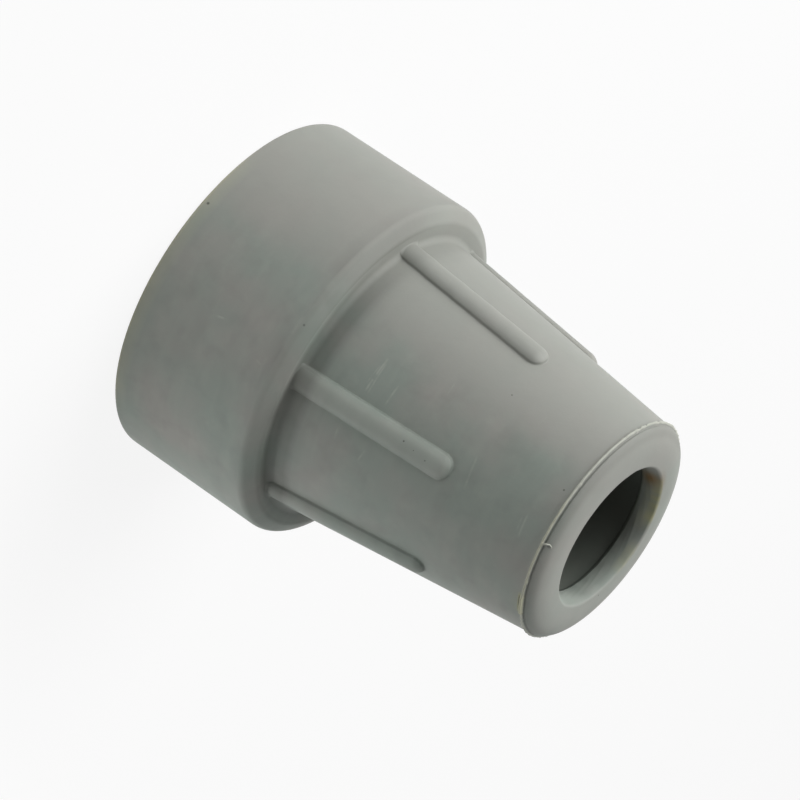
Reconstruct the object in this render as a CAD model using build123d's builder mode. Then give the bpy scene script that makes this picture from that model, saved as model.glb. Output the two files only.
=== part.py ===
"""Rubber cane tip: one moulded piece that stands on its tread, mouth up.

The origin is the centre of the tread, +Z runs along the axis towards the mouth. Millimetres.
The outside is a round foot, a bevelled shoulder and a tapering neck with raised ribs; inside is
a blind socket for the end of a cane, with a gripping lip just inside the mouth.
"""
from build123d import *
from math import atan2, cos, sin
import os

# The cane or crutch tube that the tip goes on
cane_radius = 8.0

# Heights above the tread
foot_height = 17.7            # to the shoulder face
overall_height = 48.55        # to the mouth face
socket_floor = 12.0           # to the bottom of the socket

# Foot: the wide round base, with concentric grooves in its tread
tread_edge_radius = 0.4
groove_count = 3
groove_pitch = 4.5
groove_width = 1.6
groove_depth = 1.2
tread_rim_width = 3.9         # from the foot's side to the outermost groove

# Shoulder: a flat ring around the neck, with a soft bevel down to the foot's side
shoulder_width = 3.4
bevel_width = 1.45            # across the shoulder
bevel_height = 0.85           # down the foot's side
bevel_softness = 0.6

# Neck: tapers from the shoulder to the parting line
neck_root_radius = 15.8
neck_root_fillet = 0.8
flash_width = 0.3             # thin ring of rubber squeezed out where the mould parts
flash_height = 0.2

# Mouth: domed end, flat ring and rounded rim
mouth_wall = 4.25             # thickness of rubber around the mouth
dome_height = 1.35            # from the parting line to the mouth face
face_width = 1.2              # flat ring around the mouth
rim_radius = 0.35

# Lip: tapers in from the rim to lead the cane in, then grips it
lip_grip = 0.45               # how much tighter than the cane
lip_depth = 2.05              # from the mouth face to the lip's inner edge
lip_land = 0.8                # straight gripping part

# Socket: blind bore behind the lip
socket_grip = 0.1             # how much tighter than the cane
socket_step = 0.4             # slope from the lip out to the socket's wall
socket_corner_radius = 0.6

# Ribs: raised bars on the neck, in pairs either side of the XZ plane
rib_bearings = (27.5, 92.5, 147.5)
rib_reach = 18.15             # from the shoulder to the rib's free end
rib_width = 2.7
rib_height = 0.8              # above the neck
rib_end_radius = 1.2          # corner of the free end, seen from outside
rib_edge_radius = 0.55
rib_foot_radius = 0.2         # blend between a rib and the neck
rib_bite = 1.2                # how far the rib's body runs into the neck

foot_radius = neck_root_radius + shoulder_width
neck_tip_radius = cane_radius + mouth_wall
mouth_radius = cane_radius
face_radius = mouth_radius + face_width
lip_radius = cane_radius - lip_grip
lip_edge_height = overall_height - lip_depth
socket_radius = cane_radius - socket_grip
parting_height = overall_height - dome_height
neck_taper = atan2(neck_root_radius - neck_tip_radius, parting_height - foot_height)
outer_groove_radius = foot_radius - tread_rim_width - groove_width / 2
groove_radii = [outer_groove_radius - groove_pitch * step for step in range(groove_count)]


def neck_radius(height):
    """Radius of the bare neck at a height above the tread."""
    share = (height - foot_height) / (parting_height - foot_height)
    return neck_root_radius + (neck_tip_radius - neck_root_radius) * share


def nearest_corner(sketch, radius, height):
    """The corner of a half section nearest to a radius and a height."""
    return sketch.vertices().sort_by_distance((radius, height, 0))[0]


# One rib, drawn flat on the neck's slope at bearing 0 and thickened inwards. Its lower end is
# buried in the foot.
rib_end_height = foot_height + rib_reach
rib_buried_height = foot_height - rib_bite - rib_end_radius
rib_middle_height = (rib_buried_height + rib_end_height) / 2
rib_length = (rib_end_height - rib_buried_height) / cos(neck_taper)
rib_plane = Plane(
    origin=(
        neck_radius(rib_middle_height) + rib_height * cos(neck_taper),
        0,
        rib_middle_height + rib_height * sin(neck_taper),
    ),
    x_dir=(-sin(neck_taper), 0, cos(neck_taper)),
    z_dir=(cos(neck_taper), 0, sin(neck_taper)),
)

with BuildPart() as rib:
    with BuildSketch(rib_plane):
        RectangleRounded(rib_length, rib_width, rib_end_radius)
    extrude(amount=-(rib_height + rib_bite))
    fillet(rib.faces().sort_by(Axis(rib_plane.origin, rib_plane.z_dir))[-1].edges(), rib_edge_radius)


with BuildPart() as cane_tip:
    # Half section, outside from the tread up and then down into the socket
    with BuildSketch(Plane.XZ) as section:
        with BuildLine():
            Polyline(
                (0, 0),
                (foot_radius, 0),
                (foot_radius, foot_height - bevel_height),
                (foot_radius - bevel_width, foot_height),
                (neck_root_radius, foot_height),
                (neck_tip_radius, parting_height),
            )
            EllipticalCenterArc(
                (face_radius, parting_height),
                neck_tip_radius - face_radius,
                overall_height - parting_height,
                start_angle=0,
                arc_size=90,
            )
            Polyline(
                (face_radius, overall_height),
                (mouth_radius, overall_height),
                (lip_radius, lip_edge_height + lip_land),
                (lip_radius, lip_edge_height),
                (socket_radius, lip_edge_height - socket_step),
                (socket_radius, socket_floor),
                (0, socket_floor),
                (0, 0),
            )
        make_face()
        fillet(nearest_corner(section, foot_radius, 0), tread_edge_radius)
        fillet(nearest_corner(section, foot_radius, foot_height - bevel_height), bevel_softness)
        fillet(nearest_corner(section, foot_radius - bevel_width, foot_height), bevel_softness)
        fillet(nearest_corner(section, neck_root_radius, foot_height), neck_root_fillet)
        fillet(nearest_corner(section, mouth_radius, overall_height), rim_radius)
        fillet(nearest_corner(section, socket_radius, socket_floor), socket_corner_radius)
    revolve(axis=Axis.Z)

    for bearing in rib_bearings:
        for side in (1, -1):
            add(rib.part, rotation=(0, 0, side * bearing))

    # Where the ribs meet the neck: every edge of the neck except its seam and its end circles
    neck = cane_tip.faces().filter_by(GeomType.CONE).sort_by(SortBy.AREA)[-1]
    rib_feet = neck.edges().filter_by(GeomType.CIRCLE, reverse=True).filter_by(GeomType.LINE, reverse=True)
    fillet(rib_feet, rib_foot_radius)

    # Thin raised ring of flash at the parting line
    with BuildSketch(Plane.XZ) as flash:
        with Locations((neck_tip_radius, parting_height)):
            Ellipse(flash_height, flash_width / 2)
    revolve(axis=Axis.Z)

    with BuildSketch(Plane.XZ) as tread_grooves:
        with Locations(*[(radius, 0) for radius in groove_radii]):
            Rectangle(groove_width, groove_depth * 2)
    revolve(axis=Axis.Z, mode=Mode.SUBTRACT)

cane_tip.part.label = "cane_tip"

os.makedirs("parts", exist_ok=True)
export_step(cane_tip.part, "parts/cane_tip.step")
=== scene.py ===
import math
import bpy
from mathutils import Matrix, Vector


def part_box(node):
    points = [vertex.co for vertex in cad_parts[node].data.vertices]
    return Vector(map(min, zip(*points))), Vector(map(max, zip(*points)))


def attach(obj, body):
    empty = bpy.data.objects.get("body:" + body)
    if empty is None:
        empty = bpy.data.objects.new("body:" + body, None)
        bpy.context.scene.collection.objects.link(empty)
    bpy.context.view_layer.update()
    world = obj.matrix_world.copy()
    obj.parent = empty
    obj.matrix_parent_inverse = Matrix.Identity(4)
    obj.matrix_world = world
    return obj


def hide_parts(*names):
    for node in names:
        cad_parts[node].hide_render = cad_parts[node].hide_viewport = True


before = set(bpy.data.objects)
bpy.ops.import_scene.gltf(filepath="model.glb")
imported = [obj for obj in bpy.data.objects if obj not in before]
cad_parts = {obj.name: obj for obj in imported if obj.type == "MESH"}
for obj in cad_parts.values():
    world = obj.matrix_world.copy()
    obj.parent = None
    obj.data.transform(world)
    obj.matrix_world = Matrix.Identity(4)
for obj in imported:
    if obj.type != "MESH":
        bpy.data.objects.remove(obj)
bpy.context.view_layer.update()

from types import SimpleNamespace

import bpy
import numpy as np
from bpy.props import FloatProperty, FloatVectorProperty, PointerProperty
from mathutils import Quaternion, Vector

bl_info = {
    "name": "Rubber Cane Tip",
    "version": (1, 0, 0),
    "blender": (4, 5, 0),
    "location": "View3D > Sidebar > Cane Tip",
    "description": "Builds a moulded rubber cane tip and the stage it stands on",
    "category": "Add Mesh",
}

MM = 0.001
LOWEST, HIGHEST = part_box("cane_tip")


def linear(hex_colour):
    """A colour written as sRGB hex, as the linear red, green and blue that shaders take."""
    levels = [int(hex_colour[i:i + 2], 16) / 255 for i in (1, 3, 5)]
    return tuple(v / 12.92 if v <= 0.04045 else ((v + 0.055) / 1.055) ** 2.4 for v in levels)


def length(name, description, millimetres):
    """A length that a user may change, kept in metres."""
    return FloatProperty(name=name, description=description, default=millimetres * MM,
                         min=0.0, precision=5, unit="LENGTH")


def angle(name, description, degrees):
    """An angle that a user may change."""
    return FloatProperty(name=name, description=description, default=math.radians(degrees),
                         subtype="ANGLE")


def colour(name, description, hex_colour):
    """A colour that a user may change."""
    return FloatVectorProperty(name=name, description=description, default=linear(hex_colour),
                               min=0.0, max=1.0, size=3, subtype="COLOR")


def power(name, description, watts):
    """A lamp's power that a user may change."""
    return FloatProperty(name=name, description=description, default=watts, min=0.0,
                         unit="POWER", precision=3)


class CaneTipSizes(bpy.types.PropertyGroup):
    """The moulding's sizes."""

    foot_radius: length("Foot radius", "Radius of the wide foot", (HIGHEST.x - LOWEST.x) / 2 / MM)
    foot_height: length("Foot height", "From the tread to the flat of the shoulder", 17.7)
    tread_edge: length("Tread edge", "Rounding where the tread meets the side", 0.4)
    groove_width: length("Groove width", "Width of each ring cut in the tread", 1.6)
    groove_depth: length("Groove depth", "Depth of each ring cut in the tread", 1.2)
    groove_pitch: length("Groove pitch", "From one tread ring to the next", 4.5)
    outer_groove: length("Outer groove", "Radius of the middle of the outer tread ring", 14.5)
    bevel_width: length("Bevel width", "How far the shoulder's bevel comes in", 1.45)
    bevel_height: length("Bevel height", "How far the shoulder's bevel drops", 0.85)
    bevel_softness: length("Bevel softness", "Rounding of the bevel's two edges", 0.95)
    neck_root: length("Neck root", "Radius of the neck where it leaves the shoulder", 15.8)
    neck_fillet: length("Neck fillet", "Rounding between the neck and the shoulder", 0.8)
    neck_tip: length("Neck tip", "Radius of the neck at the parting line", 12.25)
    parting_height: length("Parting height", "Height of the mould's parting line", 47.2)
    overall_height: length("Overall height", "From the tread to the mouth's face",
                           (HIGHEST.z - LOWEST.z) / MM)
    face_radius: length("Face radius", "Where the domed end turns flat", 9.2)
    mouth_radius: length("Mouth radius", "Radius of the hole at the face", 8.0)
    rim_softness: length("Rim softness", "Rounding of the hole's edge", 0.35)
    lip_radius: length("Lip radius", "Radius inside the gripping lip", 7.55)
    lip_top: length("Lip top", "Height where the lip's land starts", 47.3)
    lip_bottom: length("Lip bottom", "Height where the lip's land ends", 46.5)
    socket_radius: length("Socket radius", "Radius of the socket behind the lip", 7.9)
    socket_floor: length("Socket floor", "Height of the socket's floor", 12.0)
    rib_width: length("Rib width", "Width of each rib", 2.7)
    rib_height: length("Rib height", "How far each rib stands off the neck", 0.8)
    rib_end: length("Rib end", "Height where the ribs end", 35.85)
    rib_corner: length("Rib corner", "Rounding of a rib's end, seen from outside", 1.2)
    rib_edge: length("Rib edge", "Width of the rounding along a rib's top", 1.3)
    rib_foot: length("Rib foot", "Rounding between a rib and the neck", 0.15)
    rib_root_fillet: length("Rib root fillet", "Rounding between a rib and the shoulder", 0.12)
    rib_front: angle("Front ribs", "Bearing of the front pair of ribs", 27.5)
    rib_side: angle("Side ribs", "Bearing of the side pair of ribs", 92.5)
    rib_back: angle("Back ribs", "Bearing of the back pair of ribs", 147.5)
    flash_stand: length("Flash stand", "How far the flash stands off the parting line", 0.24)


class CaneTipColours(bpy.types.PropertyGroup):
    """The rubber's colours."""

    cool: colour("Cool patches", "Greener patches in the grey", "#949D95")
    warm: colour("Warm patches", "Warmer patches in the grey", "#9E9E98")
    # Also painted along the tread's edge as a pale glow
    flash: colour("Flash", "Thin flash at the parting line", "#BFC1B6")
    olive: colour("Olive bloom", "Sulphur bloom where the rubber was squeezed thin", "#B2B088")
    stain: colour("Stain", "Brown stain inside the mouth", "#7A5A2B")
    # Also painted shade in the socket, the crevice and the creases, and the dark tone of the blotches
    residue: colour("Residue", "Dark residue inside the socket", "#40433C")
    # Also a painted highlight on the tops of the front ribs, and the light tone of the blotches
    scuff_and_painted_highlight: colour("Scuff", "Fine scuffs where the surface was rubbed", "#B9BCB4")
    speck: colour("Speck", "Specks of dirt pressed into the surface", "#4E524C")


class CaneTipStage(bpy.types.PropertyGroup):
    """The floor, the lamps and the camera."""

    floor: colour("Floor", "Colour of the floor", "#F4F4F4")
    main_lamp: power("Main lamp", "Power of the large softbox above", 3.0)
    side_lamp: power("Side lamp", "Power of the strip low at the side", 0.3)
    low_lamp: power("Low lamp", "Power of the strip across from it", 0.33)
    overhead_lamp: power("Overhead lamp", "Power of the softbox straight above", 0.17)
    bounce_card: power("Bounce card", "Power of the small card near the floor that lights the foot", 0.0082)
    lamp_distance: length("Lamp distance", "From the tip to each large lamp", 500.0)
    card_distance: length("Card distance", "From the tip to the bounce card", 70.0)
    camera_bearing: angle("Camera bearing", "Bearing of the camera about the tip", -42.6)
    camera_elevation: angle("Camera elevation", "Elevation of the camera", 22.7813)
    camera_roll: angle("Camera roll", "Roll of the camera", 124.1434)
    camera_distance: length("Camera distance", "From the camera to the point it looks at", 464.5226)
    camera_lens: FloatProperty(name="Camera lens", description="Focal length in millimetres",
                               default=208.1, min=1.0, unit="CAMERA")


def in_mm(sizes):
    """The sizes as plain numbers: lengths in millimetres, bearings in degrees."""
    made = {}
    for key, prop in sizes.bl_rna.properties.items():
        if prop.type == "FLOAT":
            value = getattr(sizes, key)
            made[key] = math.degrees(value) if prop.subtype == "ANGLE" else value / MM
    return SimpleNamespace(**made)


def direction(bearing, elevation):
    """The unit vector towards a bearing and an elevation, both in radians."""
    return Vector((math.cos(elevation) * math.cos(bearing), math.cos(elevation) * math.sin(bearing),
                   math.sin(elevation)))


def softened(corners, spacing):
    """A path through corners given as (radius, height, rounding, steps).

    Steps is how many cuts the rounding has, and no two points are further apart than spacing.
    """
    path = []
    for i, (r, z, rounding, steps) in enumerate(corners):
        here = Vector((r, z))
        if not rounding:
            path.append(here)
            continue
        back = (Vector(corners[i - 1][:2]) - here).normalized()
        ahead = (Vector(corners[i + 1][:2]) - here).normalized()
        half = back.angle(ahead) / 2
        centre = here + (back + ahead).normalized() * (rounding / math.sin(half))
        start = here + back * (rounding / math.tan(half)) - centre
        end = here + ahead * (rounding / math.tan(half)) - centre
        turn = math.atan2(start.x * end.y - start.y * end.x, start.dot(end))
        for k in range(steps + 1):
            c, s = math.cos(turn * k / steps), math.sin(turn * k / steps)
            path.append(centre + Vector((c * start.x - s * start.y, s * start.x + c * start.y)))
    filled = [path[0]]
    for p in path[1:]:
        cuts = max(1, math.ceil((p - filled[-1]).length / spacing))
        filled += [filled[-1].lerp(p, k / cuts) for k in range(1, cuts + 1)]
    return [(p.x, p.y) for p in filled]


def smooth_step(low, high, value):
    """0 at low, 1 at high, with an easy start and finish."""
    share = np.clip((value - low) / (high - low), 0, 1)
    return share * share * (3 - 2 * share)


# Where the lines across a rib's edge lie: in from its outline, in millimetres, as shares of the width of the
# fillet at its foot, and out from there, in millimetres
INSIDE_LINES = (0.006, 0.03, 0.07, 0.13, 0.21, 0.31, 0.43, 0.57, 0.72, 0.88, 1.06)
FILLET_LINES = (0.0, 0.3, 0.6, 1.0)
OUTSIDE_LINES = (0.12, 0.3, 0.55, 0.95, 1.5, 2.2)
GAP_COLUMNS = 18        # lines in each gap between two ribs
RIB_WALL = 0.2          # share of a rib's height that is a straight wall
RIB_CROWN = 0.65        # how round a rib's top is: 0.5 is an ellipse, 1 is a parabola
RIB_WAVER = 0.035       # how far a rib's outline wanders, in millimetres
# Heights of the rings over the parting line, in millimetres from it
PARTING_STEPS = (-0.56, -0.5, -0.44, -0.38, -0.32, -0.26, -0.2, -0.15, -0.11, -0.07, -0.03, 0.01, 0.05, 0.09,
                 0.13, 0.18, 0.24, 0.31, 0.39)
DOME_TURNS = (21, 26, 31, 37, 43, 50, 57, 64, 71, 78, 84, 90)   # degrees up the dome, one for each ring
PATCH_STAND = 0.2       # how far the thick patch of flash stands off the neck, in millimetres
CREVICE_DEPTH = 0.18    # depth of the crevice torn below that patch
UNDERCUT = 0.1          # depth of the dip between the flash and the dome
OUTSIDE_SPACING = 1.5   # widest step between rings of the tread and the foot, in millimetres
INSIDE_SPACING = 0.9    # widest step between rings of the mouth and the socket


class Grid:
    """The lengthwise lines of the moulding's skin: a bundle that follows each rib, and a fan in each gap."""

    def __init__(self, m):
        self.m = m
        self.ribs = sorted(side * b for b in (m.rib_front, m.rib_side, m.rib_back) for side in (-1, 1))
        self.steps = np.array([m.rib_corner - d for d in reversed(INSIDE_LINES)]
                              + [m.rib_corner + m.rib_foot * share for share in FILLET_LINES]
                              + [m.rib_corner + m.rib_foot + d for d in OUTSIDE_LINES])
        flat = m.rib_width / 2 - m.rib_corner
        edge = flat + self.steps
        across = np.concatenate([-edge[::-1], [-flat, 0.0, flat], edge])
        self.reach = across[-1]
        self.taper = math.atan2(m.neck_root - m.neck_tip, m.parting_height - m.foot_height)
        self.end = (m.rib_end - m.foot_height) / math.cos(self.taper)
        self.dome_height, self.dome_width = m.overall_height - m.parting_height, m.neck_tip - m.face_radius
        centre, offset, share, following = [], [], [], []
        for i, bearing in enumerate(self.ribs):
            after = self.ribs[(i + 1) % len(self.ribs)] + (360 if i + 1 == len(self.ribs) else 0)
            centre += [bearing] * len(across)
            offset += list(across)
            share += [0.0] * len(across)
            following += [bearing] * len(across)
            centre += [bearing] * GAP_COLUMNS
            offset += [self.reach] * GAP_COLUMNS
            share += [(k + 1) / (GAP_COLUMNS + 1) for k in range(GAP_COLUMNS)]
            following += [after] * GAP_COLUMNS
        self.centre, self.offset = np.array(centre), np.array(offset)
        self.share, self.following = np.array(share), np.array(following)
        self.in_gap = self.share > 0
        self.count = len(centre)

    def bearings(self, offset, radius):
        """The bearing of each line, in degrees, where the skin has that radius."""
        own = self.centre + np.degrees(np.arcsin(offset / radius))
        far = self.following - np.degrees(np.arcsin(self.reach / radius))
        return own + self.share * (far - own)

    def ring(self, r, z, radius):
        """One ring of the skin at radius r and height z, its lines spaced as at another radius."""
        return (np.full(self.count, float(r)), np.full(self.count, float(z)),
                self.bearings(self.offset, radius))

    def rib_rise(self, step):
        """How far a rib stands off the neck, at each distance from the centre of its end's corner."""
        m = self.m
        inside = m.rib_corner - step
        wall = RIB_WALL * m.rib_height
        top = wall + (m.rib_height - wall) * (1 - (1 - np.clip(inside / m.rib_edge, 0, 1)) ** 2) ** RIB_CROWN
        foot = m.rib_foot * (1 - np.sqrt(1 - (1 - np.clip(-inside / m.rib_foot, 0, 1)) ** 2))
        return np.where(inside > INSIDE_LINES[0] / 2, top, foot)

    def neck_ring(self, along):
        """One ring of the neck, at a distance along its slope, with the ribs on it."""
        m = self.m
        flat, bend = m.rib_width / 2 - m.rib_corner, self.end - m.rib_corner
        p = np.where(self.in_gap, self.steps[-1], np.abs(self.offset) - flat)
        q = np.full(self.count, along - bend)
        step = np.maximum(p, q)
        corner = (p > 0) & (q > 0) & ~self.in_gap
        safe_p, safe_q = np.where(corner, p, 1.0), np.where(corner, q, 1.0)
        turn = np.where(safe_p >= safe_q, math.pi / 4 * safe_q / safe_p,
                        math.pi / 2 - math.pi / 4 * safe_p / safe_q)
        hold = np.where(corner, 1 - smooth_step(m.rib_corner + m.rib_foot, self.steps[-1], step), 0.0)
        away = np.where(corner, flat + p + hold * (step * np.cos(turn) - p), np.abs(self.offset))
        slope = along + hold * (step * np.sin(turn) - q)
        base = m.neck_root - slope * math.sin(self.taper)
        rise = np.where(self.in_gap, 0.0, self.rib_rise(step))
        waver = (RIB_WAVER * ragged(self.centre * 7 + slope * 20, 3, 1, 12)
                 * smooth_step(0, 1, rise / m.rib_height * 2))
        bearing = self.bearings(np.copysign(away, self.offset) + np.where(self.in_gap, 0.0, waver), base)
        return (base + rise * math.cos(self.taper),
                m.foot_height + slope * math.cos(self.taper) + rise * math.sin(self.taper), bearing)

    def root_ring(self, share):
        """One ring of the fillet at the neck's root; share goes from the shoulder to the neck."""
        m = self.m
        step = np.abs(self.offset) - (m.rib_width / 2 - m.rib_corner)
        rise = np.where(self.in_gap, 0.0, self.rib_rise(step))
        fillet = m.neck_fillet + (m.rib_root_fillet - m.neck_fillet) * rise / m.rib_height
        c, s = math.cos(self.taper), math.sin(self.taper)
        middle = m.neck_root + (rise + fillet * (1 - s)) / c
        swing = -math.pi / 2 - share * (math.pi / 2 - self.taper)
        return (middle + fillet * math.cos(swing), m.foot_height + fillet * (1 + math.sin(swing)),
                self.bearings(self.offset, m.neck_root))


def ragged(bearing, seed, lowest, highest):
    """An uneven line round the moulding, about 0 and as large as 1, that meets itself."""
    rng = np.random.default_rng(seed)
    waves = np.arange(lowest, highest)
    phases, sizes = rng.uniform(0, 2 * math.pi, len(waves)), rng.uniform(0.3, 1, len(waves))
    line = sum(a * np.sin(w * np.radians(bearing) + f) for w, f, a in zip(waves, phases, sizes))
    return line / np.abs(line).max()


def between(value, low, high, soft):
    """1 between low and high, fading to 0 over soft beyond each."""
    return smooth_step(low - soft, low, value) * (1 - smooth_step(high, high + soft, value))


def parting_rings(grid):
    """The rings over the mould's parting line, with the thin flash that it left."""
    m = grid.m
    rings = []
    for step in PARTING_STEPS:
        if step < 0:
            r = m.neck_tip - step * math.tan(grid.taper)
        else:
            r = m.face_radius + grid.dome_width * math.sqrt(1 - (step / grid.dome_height) ** 2)
        radius, height, bearing = grid.ring(r, m.parting_height + step, m.neck_tip)
        # The flash: a thin ridge, uneven in how far it stands and where it runs
        stand = m.flash_stand * (1 + 0.3 * ragged(bearing, 4, 9, 90) + 0.3 * ragged(bearing, 14, 60, 130))
        drift = 0.03 * ragged(bearing, 8, 5, 90)
        ridge = 1 - smooth_step(0.05, 0.15, np.abs(step - drift))
        # Its thick patch, and the crevice below that
        patch = between(bearing, 10, 19, 2)
        crevice = between(step, -0.38, -0.32, 0.07) * between(bearing, 11, 17, 2)
        rise = (stand * ridge + patch * PATCH_STAND * between(step, -0.2, 0.12, 0.07)
                - CREVICE_DEPTH * crevice)
        undercut = UNDERCUT * between(step, 0.18, 0.25, 0.07)
        rings.append((radius + rise - undercut, height, bearing))
    return rings


def skin_rings(m):
    """Every ring of the moulding's skin.

    They run from the middle of the tread round the outside, over the mouth and down to the socket's floor.
    """
    grid = Grid(m)
    under = [(0.0, 0.0, 0, 0)]
    edge, corner = 0.2, 0.25        # roundings of a groove's edges, and of the corners of its floor
    for k in (2, 1, 0):
        middle, half = m.outer_groove - k * m.groove_pitch, m.groove_width / 2
        under += [(middle - half, 0.0, edge, 3), (middle - half, m.groove_depth, corner, 3),
                  (middle + half, m.groove_depth, corner, 3), (middle + half, 0.0, edge, 3)]
    shoulder = [(m.foot_radius, 0.0, m.tread_edge, 7),
                (m.foot_radius, m.foot_height - m.bevel_height, m.bevel_softness, 6),
                (m.foot_radius - m.bevel_width, m.foot_height, m.bevel_softness, 5),
                (m.neck_root + 1.5, m.foot_height, 0, 0)]
    rings = [grid.ring(r, z, m.neck_root) for r, z in softened(under + shoulder, OUTSIDE_SPACING)[1:]]
    rings += [grid.root_ring(k / 7) for k in range(8)]
    first = m.neck_fillet * (1 - math.sin(grid.taper)) / math.cos(grid.taper)
    bend = grid.end - m.rib_corner
    last = (m.parting_height + PARTING_STEPS[0] - m.foot_height) / math.cos(grid.taper)
    stations = [*np.linspace(first, bend, 18)[1:], *(bend + grid.steps)]
    stations += list(np.linspace(stations[-1], last, 10)[1:-1])
    rings += [grid.neck_ring(t) for t in stations]
    rings += parting_rings(grid)
    for turn in np.radians(DOME_TURNS):
        rings.append(grid.ring(m.face_radius + grid.dome_width * math.cos(turn),
                               m.parting_height + grid.dome_height * math.sin(turn), m.neck_tip))
    inside = [(m.face_radius - 0.3, m.overall_height, 0, 0),
              (m.mouth_radius, m.overall_height, m.rim_softness, 7),
              (m.lip_radius, m.lip_top, 2.5, 9), (m.lip_radius, m.lip_bottom, 0.12, 3),
              (m.socket_radius, m.lip_bottom - 0.4, 0.15, 3),
              (m.socket_radius, m.socket_floor, 0.6, 5), (0.0, m.socket_floor, 0, 0)]
    for r, z in softened(inside, INSIDE_SPACING)[:-1]:
        radius, height, bearing = grid.ring(r, z, m.neck_tip)
        near_rim = smooth_step(m.lip_bottom - 0.6, m.lip_bottom, z)
        rings.append((radius + 0.03 * near_rim * ragged(bearing + 40 * z, 11, 4, 24), height, bearing))
    return rings


def tints(x, y, z, m):
    """How much of each tint the rubber shows at points of the skin, by name."""
    r, bearing = np.hypot(x, y), np.degrees(np.arctan2(y, x))
    round_back = bearing % 360
    level = z - m.parting_height
    slope = (m.neck_root - m.neck_tip) / (m.parting_height - m.foot_height)
    proud = ((r - m.neck_root + (z - m.foot_height) * slope)
             * (z > m.foot_height + 0.3) * (z < m.rib_end + 0.6))
    uneven = 0.7 + 0.3 * ragged(bearing, 21, 6, 60)

    # At the parting line: the flash, its thick patch, and painted shade in the crevice below that
    flash = between(r, m.neck_tip + 0.07, m.neck_tip + 1, 0.05) * between(level, -0.2, 0.3, 0.05)
    patch = between(bearing, 9, 20, 3) * between(level, -0.5, 0.2, 0.08) * (r > m.neck_tip - 0.1)
    crevice = between(bearing, 11, 17, 2) * between(level, -0.37, -0.33, 0.08) * (r > m.neck_tip - 0.4)

    # Bloom on the hole's edge and the lip, bloom and a pale painted glow on the tread's edge, and a brown
    # spot in the mouth
    rim = (between(r, 7.65, 8.12, 0.15) * between(z, 47.85, 48.46, 0.25)
           * (between(round_back, 168, 198, 12) + 0.45 * between(round_back, 124, 138, 9))
           + 0.35 * (r < 8.1) * between(z, 47.3, 48.2, 0.5) * between(round_back, 165, 205, 15))
    tread = between(z, 0.1, 0.3, 0.2) * between(r, 18.95, 19.3, 0.1) * between(bearing, -66, 6, 18)
    stain = (np.exp(-(((round_back - 205) / 10.5) ** 2 + ((z - 47.45) / 1.1) ** 2))
             * (r < 8.3) * (z > 46.4))

    # Painted shade: in the socket, at the neck's root, under the bevel, round the dome, on the lip, on the
    # bevel and along the feet of the ribs
    socket = (1 - smooth_step(46.15, 46.5, z)) * (r < 8.3) * (z > m.socket_floor - 0.1)
    crease = (between(z, m.foot_height + 0.02, m.foot_height + 1.5, 1.6) * (r < m.neck_root + 1.15)
              * (0.3 + 0.7 * between(bearing, -52, 110, 40)))
    streak = between(z, 15.8, 16.3, 0.35) * np.clip(0.4 + 0.8 * ragged(bearing, 31, 3, 16), 0, 1)
    dome = between(level, 0.1, 0.8, 0.35) * (r > m.face_radius + 1)
    lip = 0.8 * (r < 8.0) * between(z, 46.5, 47.9, 0.3) * between(round_back, 85, 150, 20)
    shoulder = (between(r, m.foot_radius - 1.7, m.foot_radius - 0.3, 0.4) * (z > 16.4) * (z < 17.75)
                * between(bearing, -88, 110, 26) * (1 - 0.5 * smooth_step(-42, -12, bearing)))
    rib_foot = (0.4 * between(proud, 0.06, 0.26, 0.05) * (r > m.face_radius)
                * between(bearing, -105, 60, 10))
    # The mix is a little warmer on one side and on the mouth's face
    warmer = np.maximum(between(bearing, -150, -66, 12), 0.6 * (z > 48)) * (r > m.mouth_radius)
    return {
        "warmer": warmer,
        # The tops of the front ribs made lighter: a painted highlight
        "rubbed": smooth_step(0.35, 0.7, proud) * between(bearing, -44, -12, 6),
        # The flash colour also lies along the tread's edge, as a pale painted glow
        "flash": np.maximum(flash, tread * uneven),
        "olive": np.maximum.reduce([patch * 0.6, rim * uneven, tread * uneven * 0.6,
                                    0.35 * flash * between(bearing, -35, 10, 20)]),
        "stain": stain,
        # Painted shade in the socket and in the crevice below the patch
        "residue": np.maximum(socket, crevice),
        # Painted shade in the creases, on the bevel, round the dome, on the lip and at the feet of the ribs
        "grime": np.maximum.reduce([crease, 0.62 * shoulder, 0.5 * dome, rib_foot, lip, 0.4 * streak]),
    }


def skin_mesh(m):
    """The whole moulding as one closed mesh, with its tints as attributes."""
    rings = skin_rings(m)
    count = len(rings[0][0])
    points = [np.array([[0.0, 0.0, 0.0]])]
    for r, z, bearing in rings:
        turn = np.radians(bearing)
        points.append(np.stack([r * np.cos(turn), r * np.sin(turn), z], axis=1))
    points = np.concatenate([*points, np.array([[0.0, 0.0, m.socket_floor]])])
    around = np.arange(count)
    beside = (around + 1) % count
    faces = [(0, int(1 + b), int(1 + a)) for a, b in zip(around, beside)]
    for row in range(len(rings) - 1):
        low, high = 1 + row * count, 1 + (row + 1) * count
        faces += list(zip((low + around).tolist(), (low + beside).tolist(),
                          (high + beside).tolist(), (high + around).tolist()))
    low, pole = 1 + (len(rings) - 1) * count, 1 + len(rings) * count
    faces += [(int(low + a), int(low + b), pole) for a, b in zip(around, beside)]
    mesh = bpy.data.meshes.new("cane_tip_body")
    mesh.from_pydata((points * MM).tolist(), [], faces)
    mesh.polygons.foreach_set("use_smooth", [True] * len(mesh.polygons))
    for name, amounts in tints(*points.T, m).items():
        held = mesh.attributes.new(name, "FLOAT", "POINT")
        held.data.foreach_set("value", np.clip(amounts, 0, 1).astype(np.float32))
    mesh.update()
    return mesh


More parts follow.
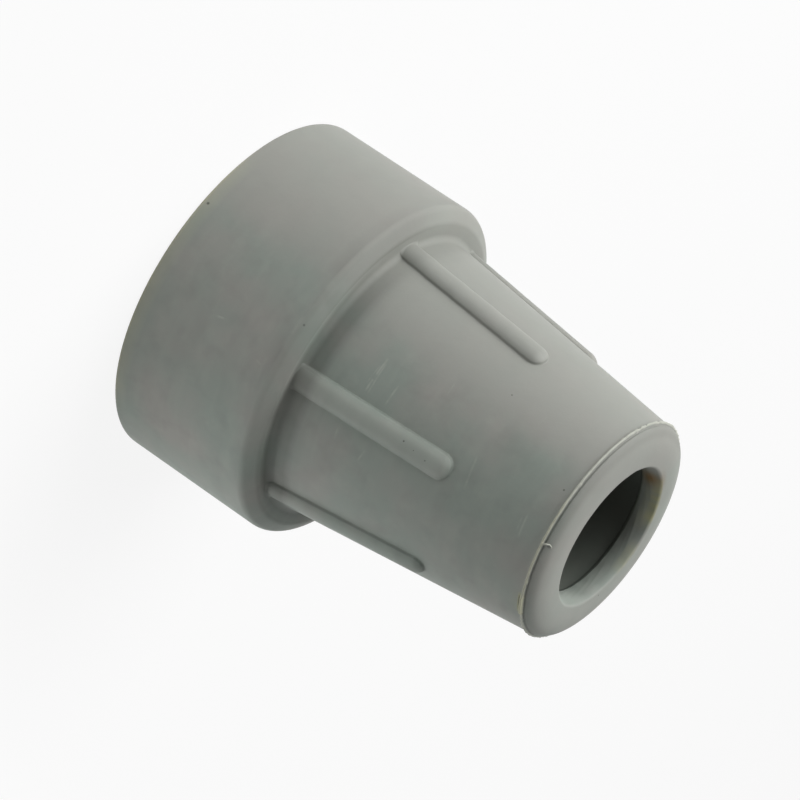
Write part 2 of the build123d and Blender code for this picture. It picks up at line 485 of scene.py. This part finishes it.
def add_node(tree, kind, inputs=None, **settings):
    """Adds a node with its settings; each input is given a value or the output that feeds it."""
    node = tree.nodes.new(kind)
    for key, value in settings.items():
        setattr(node, key, value)
    for key, value in (inputs or {}).items():
        if isinstance(value, bpy.types.NodeSocket):
            tree.links.new(value, node.inputs[key])
        else:
            node.inputs[key].default_value = value
    return node


# Scuffs, in millimetres and degrees: the height and bearing where each starts and ends, and its width; then
# how much it shows
SCUFFS = ((24.46, -51.7, 24.41, -36.1, 0.15, 0.6), (24.62, -49.5, 24.75, -35.8, 0.12, 0.45),
          (24.25, -47.5, 24.1, -39.0, 0.1, 0.35), (26.92, -45.5, 26.85, -35.3, 0.14, 0.5),
          (27.22, -16.7, 26.82, -10.7, 0.14, 0.4), (23.7, -19.1, 23.85, -13.3, 0.12, 0.3),
          (44.58, -31.3, 44.78, -18.6, 0.16, 0.5), (44.2, -28.5, 44.35, -21.0, 0.12, 0.35),
          (37.34, -39.8, 37.89, -24.2, 0.16, 0.3), (31.2, -60.0, 31.4, -52.0, 0.12, 0.25),
          (40.4, -75.0, 40.2, -64.0, 0.14, 0.25), (33.5, 102.0, 33.2, 116.0, 0.14, 0.4),
          (29.0, 168.0, 29.3, 178.0, 0.14, 0.45), (8.32, -31.3, 9.82, -32.2, 0.16, 0.55),
          (7.4, -32.0, 8.1, -32.1, 0.14, 0.45), (14.34, -27.4, 15.41, -26.6, 0.15, 0.45),
          (16.5, -46.0, 16.3, -34.0, 0.3, 0.2), (15.4, -30.0, 15.6, -18.0, 0.3, 0.15),
          (12.6, 42.0, 12.8, 56.0, 0.14, 0.35), (6.0, 128.0, 5.8, 139.0, 0.14, 0.4))
# Specks of dirt, in millimetres and degrees: the height, bearing and distance from the axis of each, and its
# size
SPECKS = ((0.75, -57.5, 19.2, 0.2), (16.93, -43.5, 19.0, 0.17), (11.67, -152.2, 19.2, 0.12),
          (46.27, -48.1, 12.36, 0.13), (36.27, -68.8, 13.56, 0.1), (47.12, -104.0, 12.45, 0.2),
          (30.6, -28.8, 15.03, 0.13), (33.4, -26.8, 14.69, 0.1), (31.9, -27.8, 14.87, 0.08),
          (48.5, 97.1, 8.49, 0.13), (21.0, 62.0, 15.4, 0.14), (8.0, 112.0, 19.2, 0.15))
# Blotches in the mix: how long and how high they are in millimetres, the noise levels where they start and
# are full, how much they show, and their colour
BLOTCHES = ((9.0, 1.2, 0.52, 0.75, 0.07, "scuff_and_painted_highlight"), (7.0, 3.0, 0.48, 0.25, 0.09, "residue"),
            (2.6, 2.2, 0.52, 0.75, 0.12, "scuff_and_painted_highlight"), (2.4, 2.6, 0.48, 0.25, 0.09, "residue"))
# Tints that the mesh holds: the name of each, how much it shows at its fullest, and its colour
# Of these, the rib tops' highlight and the two kinds of shade are painted light and shade
TINTS = (("warmer", 0.75, "warm"), ("rubbed", 0.3, "scuff_and_painted_highlight"), ("grime", 0.44, "residue"),
         ("flash", 0.9, "flash"), ("olive", 0.85, "olive"), ("stain", 0.9, "stain"),
         ("residue", 0.76, "residue"))


def moulded_rubber(colours, m):
    """Grey rubber, compression moulded in a blasted steel mould.

    That gives a dull skin with a fine grain, soft patches and blotches where the mix was uneven, faint scuffs
    that run round it from handling, and pale flash and bloom where the rubber was squeezed thin. Shade is
    painted in the creases, the socket, round the dome and on the lip and bevel, a highlight is painted on the
    tops of the front ribs, and a pale glow is painted along the tread's edge.
    """
    material = bpy.data.materials.new("moulded_grey_rubber")
    material.use_nodes = True
    tree = material.node_tree
    tree.nodes.clear()
    place = add_node(tree, "ShaderNodeTexCoord").outputs["Object"]
    parts = add_node(tree, "ShaderNodeSeparateXYZ", {"Vector": place}).outputs
    bearing = add_node(tree, "ShaderNodeMath", {0: parts["Y"], 1: parts["X"]}, operation="ARCTAN2").outputs[0]

    # Patches about 9 mm across, where the mix was a little greener or warmer
    patches = add_node(tree, "ShaderNodeTexNoise", {"Vector": place, "Scale": 1 / (9 * MM), "Detail": 3.0})
    spread = add_node(tree, "ShaderNodeMapRange", {"Value": patches.outputs["Fac"],
                                                   "From Min": 0.4, "From Max": 0.66})
    shade = add_node(tree, "ShaderNodeMix", {"Factor": spread.outputs["Result"], "A": (*colours.cool, 1),
                                             "B": (*colours.warm, 1)}, data_type="RGBA").outputs[2]

    for long, high, start, full, share, tint in BLOTCHES:
        drawn = add_node(tree, "ShaderNodeVectorMath",
                         {0: place, 1: (1 / (long * MM), 1 / (long * MM), 1 / (high * MM))},
                         operation="MULTIPLY")
        blotches = add_node(tree, "ShaderNodeTexNoise", {"Vector": drawn.outputs["Vector"], "Scale": 1.0,
                                                         "Detail": 2.0})
        amount = add_node(tree, "ShaderNodeMapRange", {"Value": blotches.outputs["Fac"], "From Min": start,
                                                       "From Max": full, "To Max": share})
        shade = add_node(tree, "ShaderNodeMix", {"Factor": amount.outputs["Result"], "A": shade,
                                                 "B": (*getattr(colours, tint), 1)},
                         data_type="RGBA").outputs[2]

    # Scuffs, drawn on the skin unrolled by bearing and height, and broken up by grit about 0.8 mm across
    grit = add_node(tree, "ShaderNodeTexNoise", {"Vector": place, "Scale": 1 / (0.8 * MM), "Detail": 2.0})
    broken = add_node(tree, "ShaderNodeMapRange", {"Value": grit.outputs["Fac"], "From Min": 0.3,
                                                   "From Max": 0.55}).outputs["Result"]
    unrolled = add_node(tree, "ShaderNodeCombineXYZ", {"X": bearing, "Y": parts["Z"]}).outputs["Vector"]
    for low, first, high, last, width, strength in SCUFFS:
        rise = max(0.0, low - m.foot_height) / (m.parting_height - m.foot_height)
        radius = m.foot_radius if rise == 0 else m.neck_root + rise * (m.neck_tip - m.neck_root)
        start = Vector((radius * math.radians(first), low, 0.0))
        run = Vector((radius * math.radians(last), high, 0.0)) - start
        ahead = run.normalized()
        aside = Vector((-ahead.y, ahead.x, 0.0))
        offs = []
        for way, centre in ((aside, start), (ahead, start + run / 2)):
            scaled = Vector((way.x * radius, way.y / MM, 0.0))
            reach = add_node(tree, "ShaderNodeVectorMath", {0: unrolled, 1: scaled}, operation="DOT_PRODUCT")
            from_centre = add_node(tree, "ShaderNodeMath", {0: reach.outputs["Value"], 1: way.dot(centre)},
                                   operation="SUBTRACT")
            offs.append(add_node(tree, "ShaderNodeMath", {0: from_centre.outputs[0]}, operation="ABSOLUTE"))
        near = add_node(tree, "ShaderNodeMapRange", {"Value": offs[0].outputs[0], "From Min": width,
                                                     "From Max": 0.0, "To Max": strength})
        along = add_node(tree, "ShaderNodeMapRange", {"Value": offs[1].outputs[0], "From Min": run.length / 2,
                                                      "From Max": run.length / 2 - 0.5})
        held = add_node(tree, "ShaderNodeMath", {0: near.outputs["Result"], 1: along.outputs["Result"]},
                        operation="MULTIPLY")
        drawn = add_node(tree, "ShaderNodeMath", {0: held.outputs[0], 1: broken}, operation="MULTIPLY")
        shade = add_node(tree, "ShaderNodeMix", {"Factor": drawn.outputs[0], "A": shade,
                                                 "B": (*colours.scuff_and_painted_highlight, 1)}, data_type="RGBA").outputs[2]

    for name, share, tint in TINTS:
        held = add_node(tree, "ShaderNodeAttribute", attribute_name=name)
        amount = add_node(tree, "ShaderNodeMath", {0: held.outputs["Fac"], 1: share}, operation="MULTIPLY")
        shade = add_node(tree, "ShaderNodeMix", {"Factor": amount.outputs[0], "A": shade,
                                                 "B": (*getattr(colours, tint), 1)},
                         data_type="RGBA").outputs[2]

    for height, where, radius, size in SPECKS:
        spot = radius * MM * direction(math.radians(where), 0.0) + Vector((0, 0, height * MM))
        away = add_node(tree, "ShaderNodeVectorMath", {0: place, 1: spot}, operation="DISTANCE")
        near = add_node(tree, "ShaderNodeMapRange", {"Value": away.outputs["Value"], "From Min": size * MM,
                                                     "From Max": 0.4 * size * MM, "To Max": 0.8})
        shade = add_node(tree, "ShaderNodeMix", {"Factor": near.outputs["Result"], "A": shade,
                                                 "B": (*colours.speck, 1)}, data_type="RGBA").outputs[2]

    # Grain of the blasted mould, over a faint unevenness about 3 mm across. Such a grain is really finer, and
    # is drawn at 0.3 mm so that it shows.
    grain = add_node(tree, "ShaderNodeTexNoise", {"Vector": place, "Scale": 1 / (0.3 * MM), "Detail": 2.0})
    fine = add_node(tree, "ShaderNodeBump", {"Height": grain.outputs["Fac"], "Strength": 0.12,
                                             "Distance": 0.05 * MM})
    uneven = add_node(tree, "ShaderNodeTexNoise", {"Vector": place, "Scale": 1 / (3 * MM), "Detail": 2.0})
    bump = add_node(tree, "ShaderNodeBump", {"Height": uneven.outputs["Fac"], "Strength": 0.35,
                                             "Distance": 0.12 * MM, "Normal": fine.outputs["Normal"]})
    dull = add_node(tree, "ShaderNodeMapRange", {"Value": patches.outputs["Fac"], "To Min": 0.52,
                                                 "To Max": 0.62})
    shader = add_node(tree, "ShaderNodeBsdfPrincipled", {"Base Color": shade,
                                                         "Roughness": dull.outputs["Result"],
                                                         "IOR": 1.52, "Specular IOR Level": 0.3,
                                                         "Normal": bump.outputs["Normal"]})
    add_node(tree, "ShaderNodeOutputMaterial", {"Surface": shader.outputs["BSDF"]})
    return material


# The burr's spine, in millimetres and degrees: how far out from the neck's tip each point is, how far up from
# the parting line, and its bearing
BURR_SPINE = ((0.12, 0.1, -22.3), (-0.02, 0.38, -23.1), (-0.22, 0.64, -23.4), (-0.42, 0.82, -22.8),
              (-0.5, 0.9, -21.9))
BURR_SIDES = 8
BURR_RADIUS, BURR_THINNING = 0.105, 0.013      # at its root, and how much thinner it is at each next point


def burr_mesh(m):
    """A thread of rubber torn from the flash, curled over the dome: a closed tube that tapers to its end."""
    spine = [(m.neck_tip + out) * direction(math.radians(bearing), 0.0)
             + Vector((0, 0, m.parting_height + up)) for out, up, bearing in BURR_SPINE]
    sides, points = BURR_SIDES, []
    for i, p in enumerate(spine):
        along = spine[min(i + 1, len(spine) - 1)] - spine[max(i - 1, 0)]
        turned = along.to_track_quat("Z", "Y")
        thick = BURR_RADIUS - BURR_THINNING * i
        points += [(p + turned @ (thick * direction(2 * math.pi * k / sides, 0.0))) * MM
                   for k in range(sides)]
    faces = [tuple(reversed(range(sides))), tuple(range(len(points) - sides, len(points)))]
    for start in range(0, len(points) - sides, sides):
        faces += [(start + k, start + (k + 1) % sides, start + sides + (k + 1) % sides, start + sides + k)
                  for k in range(sides)]
    mesh = bpy.data.meshes.new("cane_tip_burr")
    mesh.from_pydata(points, [], faces)
    mesh.polygons.foreach_set("use_smooth", [len(f.vertices) == 4 for f in mesh.polygons])
    mesh.attributes.new("flash", "FLOAT", "POINT").data.foreach_set("value", [1.0] * len(points))
    mesh.update()
    return mesh


def place_piece(context, name, mesh, material):
    """Put a piece in the scene, in the moulding's place and on its body."""
    piece = bpy.data.objects.new(name, mesh)
    context.scene.collection.objects.link(piece)
    mesh.materials.append(material)
    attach(piece, "root")
    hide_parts("cane_tip")


class CANETIP_OT_body(bpy.types.Operator):
    """Build the moulded rubber body"""

    bl_idname = "cane_tip.body"
    bl_label = "Moulded body"

    def execute(self, context):
        sizes, colours = in_mm(context.scene.cane_tip_sizes), context.scene.cane_tip_colours
        place_piece(context, "cane_tip_body", skin_mesh(sizes), moulded_rubber(colours, sizes))
        return {"FINISHED"}


class CANETIP_OT_burr(bpy.types.Operator):
    """Build the torn thread on the flash"""

    bl_idname = "cane_tip.burr"
    bl_label = "Burr on the flash"

    def execute(self, context):
        sizes = in_mm(context.scene.cane_tip_sizes)
        place_piece(context, "cane_tip_burr", burr_mesh(sizes), bpy.data.materials["moulded_grey_rubber"])
        return {"FINISHED"}


def seen_rays(tree):
    """1 for the rays that see the stage: the camera's, and those that the object reflects or passes on."""
    path = add_node(tree, "ShaderNodeLightPath").outputs
    seen = path["Is Camera Ray"]
    for kind in ("Is Glossy Ray", "Is Transmission Ray"):
        seen = add_node(tree, "ShaderNodeMath", {0: seen, 1: path[kind]}, operation="MAXIMUM").outputs[0]
    return seen


# The lamps: the name of each, which is also that of the property with its power, its bearing and elevation in
# degrees, and its width and height in millimetres
LAMPS = (("main_lamp", 226, 43, 460, 560), ("side_lamp", 270, 14, 420, 220), ("low_lamp", 62, 20, 600, 300),
         ("overhead_lamp", 226, 86, 500, 500), ("bounce_card", 35, -17, 90, 8))
LAMP_AIM = (0.0, 0.0, 24)                       # the point that the lamps face, in millimetres
CAMERA_AIM = (0.331903, 0.360941, 21.722046)    # the point that the camera looks at, in millimetres
FLOOR_REACH = 2.5       # from the middle of the floor to its sides, in metres
FLOOR_GLOW = 0.88       # how much of the floor's whiteness, as it is seen, is its own
AMBIENT = 0.05          # how brightly the world lights the object


class CANETIP_OT_stage(bpy.types.Operator):
    """Build the floor, the lamps, the world and the camera"""

    bl_idname = "cane_tip.stage"
    bl_label = "Stage"

    def execute(self, context):
        scene, setup = context.scene, context.scene.cane_tip_stage
        corners = [(x * FLOOR_REACH, y * FLOOR_REACH, 0) for x, y in ((-1, -1), (1, -1), (1, 1), (-1, 1))]
        mesh = bpy.data.meshes.new("floor")
        mesh.from_pydata(corners, [], [(0, 1, 2, 3)])
        floor = bpy.data.objects.new("floor", mesh)
        scene.collection.objects.link(floor)
        mesh.materials.append(self.floor_material(setup))
        self.light_world(scene)
        self.hang_lamps(scene, setup)
        self.place_camera(scene, setup)
        scene.view_settings.view_transform = "Standard"
        return {"FINISHED"}

    def hang_lamps(self, scene, setup):
        """Softboxes round the tip and a small card near the floor, none of them seen by the camera."""
        for name, bearing, elevation, wide, high in LAMPS:
            lamp = bpy.data.lights.new(name, "AREA")
            lamp.shape, lamp.size, lamp.size_y = "RECTANGLE", wide * MM, high * MM
            lamp.energy = getattr(setup, name)
            holder = bpy.data.objects.new(name, lamp)
            towards = direction(math.radians(bearing), math.radians(elevation))
            distance = setup.card_distance if name == "bounce_card" else setup.lamp_distance
            holder.location = Vector(LAMP_AIM) * MM + towards * distance
            holder.rotation_euler = towards.to_track_quat("Z", "Y").to_euler()
            holder.visible_camera = False
            scene.collection.objects.link(holder)

    def floor_material(self, setup):
        """A board painted matt white, which shows no highlights and keeps the tip's soft shadow."""
        material = bpy.data.materials.new("painted_white_floor")
        material.use_nodes = True
        tree = material.node_tree
        tree.nodes.clear()
        paint = add_node(tree, "ShaderNodeBsdfDiffuse", {"Color": (*setup.floor, 1)})
        glow = add_node(tree, "ShaderNodeEmission", {"Color": (1, 1, 1, 1), "Strength": 1.0})
        share = add_node(tree, "ShaderNodeMath", {0: seen_rays(tree), 1: FLOOR_GLOW}, operation="MULTIPLY")
        mix = add_node(tree, "ShaderNodeMixShader", {0: share.outputs[0], 1: paint.outputs[0],
                                                     2: glow.outputs[0]})
        add_node(tree, "ShaderNodeOutputMaterial", {"Surface": mix.outputs[0]})
        return material

    def light_world(self, scene):
        """A white studio all round, dim as a light and white where it is seen."""
        world = bpy.data.worlds.new("studio_world")
        world.use_nodes = True
        tree = world.node_tree
        tree.nodes.clear()
        ambient = add_node(tree, "ShaderNodeBackground", {"Color": (1, 1, 1, 1), "Strength": AMBIENT})
        white = add_node(tree, "ShaderNodeBackground", {"Color": (1, 1, 1, 1), "Strength": 1.0})
        mix = add_node(tree, "ShaderNodeMixShader", {0: seen_rays(tree), 1: ambient.outputs[0],
                                                     2: white.outputs[0]})
        add_node(tree, "ShaderNodeOutputWorld", {"Surface": mix.outputs[0]})
        scene.world = world

    def place_camera(self, scene, setup):
        """A long lens turned about its own axis."""
        camera = bpy.data.objects.new("camera", bpy.data.cameras.new("camera"))
        camera.data.lens = setup.camera_lens
        camera.data.sensor_width = 36.0
        camera.data.clip_start, camera.data.clip_end = 0.01, 20.0
        back = direction(setup.camera_bearing, setup.camera_elevation)
        camera.location = Vector(CAMERA_AIM) * MM + back * setup.camera_distance
        camera.rotation_mode = "QUATERNION"
        camera.rotation_quaternion = ((-back).to_track_quat("-Z", "Y")
                                      @ Quaternion((0, 0, 1), setup.camera_roll))
        scene.collection.objects.link(camera)
        scene.camera = camera


class CANETIP_PT_panel(bpy.types.Panel):
    """Lists the tip's steps in the sidebar"""

    bl_label = "Cane Tip"
    bl_idname = "CANETIP_PT_panel"
    bl_space_type = "VIEW_3D"
    bl_region_type = "UI"
    bl_category = "Cane Tip"

    def draw(self, context):
        for step in (CANETIP_OT_body, CANETIP_OT_burr, CANETIP_OT_stage):
            self.layout.operator(step.bl_idname)


CLASSES = (CaneTipSizes, CaneTipColours, CaneTipStage, CANETIP_OT_body, CANETIP_OT_burr, CANETIP_OT_stage,
           CANETIP_PT_panel)


def register():
    for item in CLASSES:
        bpy.utils.register_class(item)
    bpy.types.Scene.cane_tip_sizes = PointerProperty(type=CaneTipSizes)
    bpy.types.Scene.cane_tip_colours = PointerProperty(type=CaneTipColours)
    bpy.types.Scene.cane_tip_stage = PointerProperty(type=CaneTipStage)


def unregister():
    del bpy.types.Scene.cane_tip_stage
    del bpy.types.Scene.cane_tip_colours
    del bpy.types.Scene.cane_tip_sizes
    for item in reversed(CLASSES):
        bpy.utils.unregister_class(item)


def main():
    register()
    bpy.ops.cane_tip.body()
    bpy.ops.cane_tip.burr()
    bpy.ops.cane_tip.stage()


if __name__ == "__main__":
    main()
